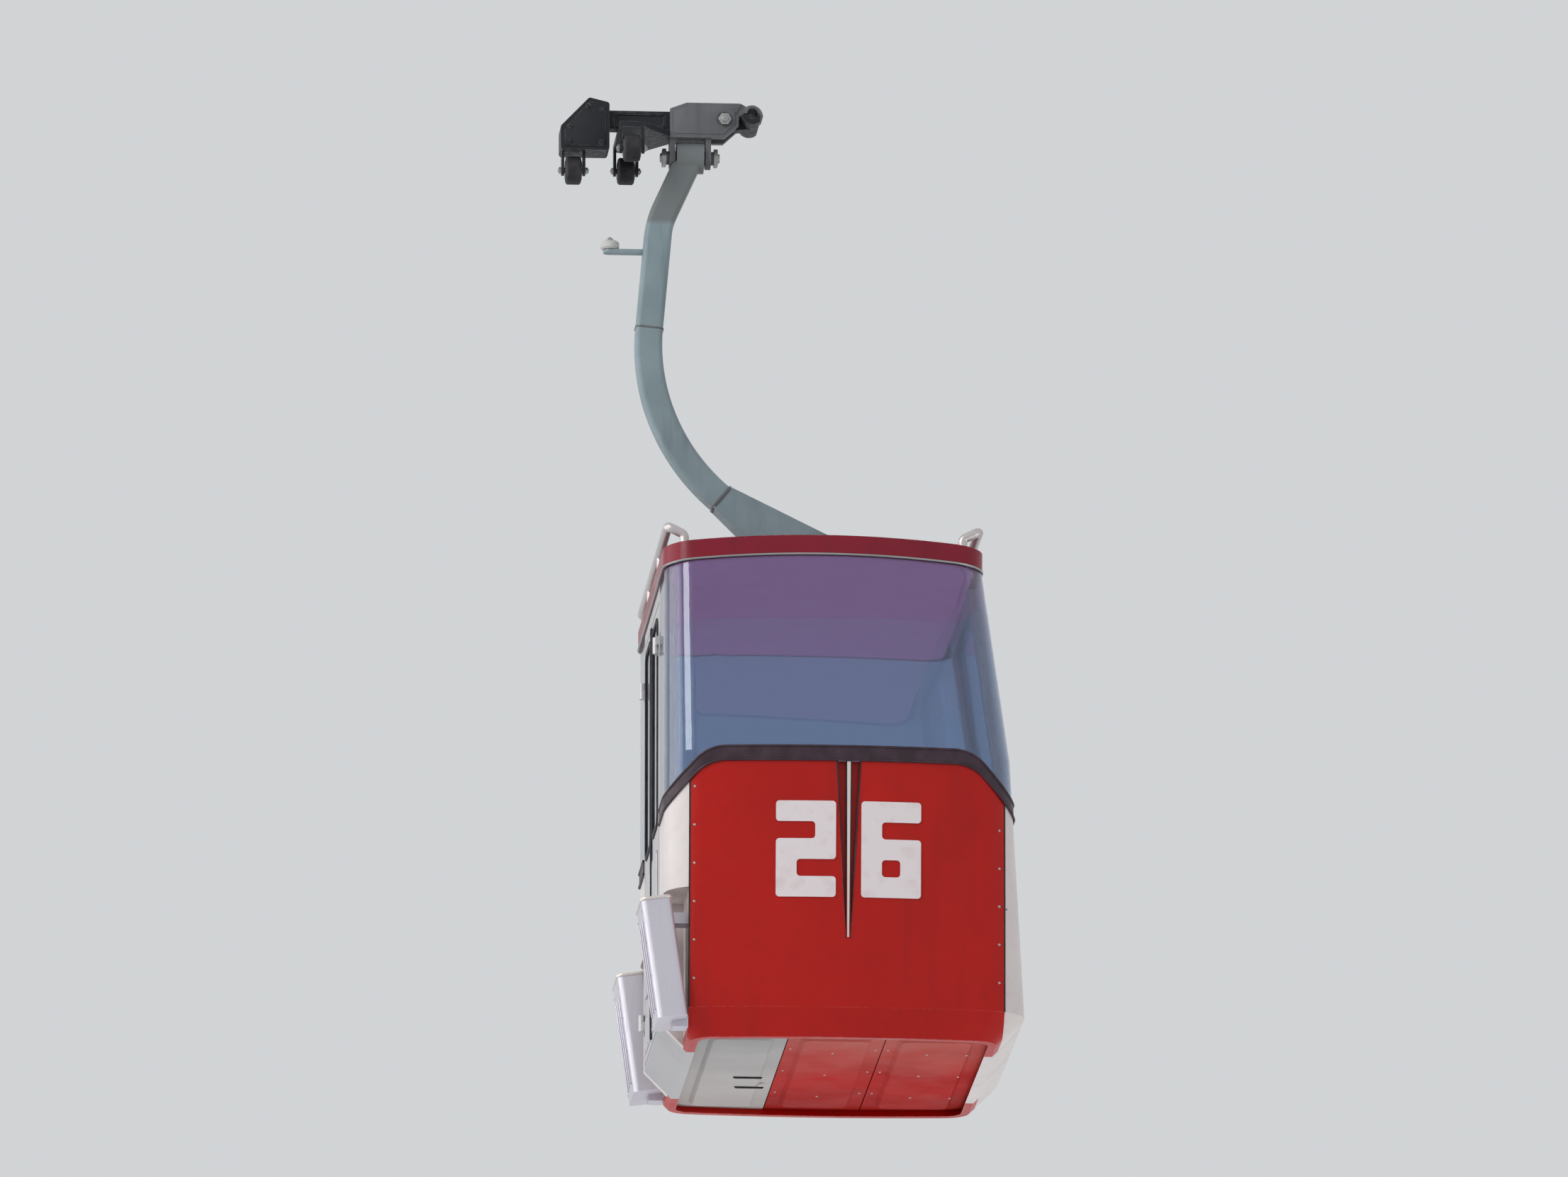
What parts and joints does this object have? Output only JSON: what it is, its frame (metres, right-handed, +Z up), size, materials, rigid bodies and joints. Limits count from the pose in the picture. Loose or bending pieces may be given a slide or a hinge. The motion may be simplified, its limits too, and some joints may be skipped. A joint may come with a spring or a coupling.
{
  "type": "cable car cabin",
  "caption": "Small gondola cabin hung from a rope by a bowed hanger and a detachable grip, with wrap-round end windows, outward-swinging doors and ski quivers.",
  "frame": {"origin": "on the rope's axis at the middle of the grip's jaws, from which the cabin hangs", "axes": "+Z up, +Y along the rope towards the rear end, -X to the door side; the cabin hangs off to the +X side of the rope"},
  "size_m": [1.657, 1.658, 3.6637],
  "materials": {
    "red_paint": "gloss",
    "white_paint": "gloss",
    "tinted_glazing": "clear",
    "cherry_paint": "gloss",
    "grey_steel": "satin",
    "dark_casting": "satin",
    "black_rubber": "matt",
    "pale_plastic": "matt",
    "aluminium": "satin",
    "bench_shell": "matt",
    "lining": "matt"
  },
  "bodies": {
    "grip": {"grip_body": "grey_steel", "wheel_frame": "dark_casting"},
    "lever": {"closing_lever": "dark_casting", "lever_head": "dark_casting"},
    "lever_roller": {"lever_roller": "black_rubber"},
    "running_wheel_front": {"running_wheel_front": "black_rubber"},
    "running_wheel_rear": {"running_wheel_rear": "black_rubber"},
    "guide_roller": {"guide_roller": "pale_plastic"},
    "door_front": {"door_leaf_front": "aluminium", "door_window_front": "tinted_glazing"},
    "door_rear": {"door_leaf_rear": "aluminium", "door_window_rear": "tinted_glazing"},
    "cabin": {"hanger_head": "grey_steel", "hanger_tube": "grey_steel", "hanger_foot": "grey_steel", "guide_bracket": "grey_steel", "rubber_buffers": "black_rubber", "roof_frame": "grey_steel", "roof_shell": "cherry_paint", "roof_rail_left": "aluminium", "roof_rail_right": "aluminium", "ceiling": "lining", "end_window_front": "tinted_glazing", "end_window_rear": "tinted_glazing", "window_seal_front": "black_rubber", "window_seal_rear": "black_rubber", "end_panel_front": "red_paint", "end_panel_rear": "red_paint", "corner_panel_front": "white_paint", "corner_panel_rear": "white_paint", "side_panel": "white_paint", "side_window_frame": "aluminium", "side_window": "tinted_glazing", "door_frame": "aluminium", "door_hinges": "aluminium", "floor_tray": "white_paint", "floor_pan_middle": "red_paint", "floor_pan_outer": "red_paint", "floor_mat": "black_rubber", "bench_front": "bench_shell", "bench_rear": "bench_shell", "backrest_front": "bench_shell", "backrest_rear": "bench_shell", "ski_quiver_front": "aluminium", "ski_quiver_rear": "aluminium"}
  },
  "joints": [
    {"name": "hanger_swing", "type": "hinge", "parent": "grip", "child": "cabin", "pos_m": [-0.225, 0, -0.15], "axis": [1, 0, 0], "range_deg": [-35, 35]},
    {"name": "grip_lever", "type": "hinge", "parent": "grip", "child": "lever", "pos_m": [-0.1, 0, -0.015], "axis": [0, 1, 0], "range_deg": [0, 16], "stiffness_Nm_per_rad": 400, "springref_deg": -28.65},
    {"name": "lever_roller_spin", "type": "hinge", "parent": "lever", "child": "lever_roller", "pos_m": [-0.655, 0, -0.205], "axis": [1, 0, 0], "continuous": true},
    {"name": "running_wheel_front_spin", "type": "hinge", "parent": "grip", "child": "running_wheel_front", "pos_m": [-0.45, -0.17, -0.16], "axis": [1, 0, 0], "continuous": true},
    {"name": "running_wheel_rear_spin", "type": "hinge", "parent": "grip", "child": "running_wheel_rear", "pos_m": [-0.45, 0.17, -0.16], "axis": [1, 0, 0], "continuous": true},
    {"name": "guide_roller_spin", "type": "hinge", "parent": "cabin", "child": "guide_roller", "pos_m": [-0.52, 0, -0.49], "axis": [0, 0, 1], "continuous": true},
    {"name": "door_front_swing", "type": "hinge", "parent": "cabin", "child": "door_front", "pos_m": [-0.373, -0.365, -2.71], "axis": [0, 0, 1], "range_deg": [0, 95]},
    {"name": "door_rear_swing", "type": "hinge", "parent": "cabin", "child": "door_rear", "pos_m": [-0.373, 0.365, -2.71], "axis": [0, 0, -1], "range_deg": [0, 95]}
  ]
}
